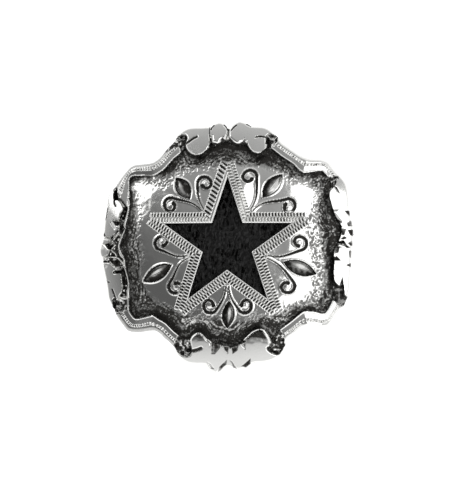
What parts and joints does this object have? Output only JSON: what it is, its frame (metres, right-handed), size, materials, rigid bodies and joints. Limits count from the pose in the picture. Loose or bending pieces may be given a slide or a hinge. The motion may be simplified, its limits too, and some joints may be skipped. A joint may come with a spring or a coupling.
{
  "type": "concho scarf slide",
  "caption": "Scarf slide: a cast concho with scrolled border and a star cut through to black leather, held on a flat metal loop that the scarf ends pass through.",
  "frame": {"origin": "on the floor, under the middle of the casting", "axes": "+Z out of the concho's face, +Y to the star's upper tip, +X to the right seen from the front"},
  "size_m": [0.0446, 0.0442, 0.0148],
  "materials": {
    "antiqued_silver": "silver-plated zinc casting, blackened in its recesses and buffed bright on its high places",
    "black_leather": "black dyed leather with a fine wrinkled grain and a soft sheen",
    "plated_steel": "nickel-plated strip steel with a fine brushed grain"
  },
  "bodies": {
    "root": {"concho": "antiqued_silver", "leather_backing": "black_leather", "scarf_loop": "plated_steel"}
  },
  "joints": []
}
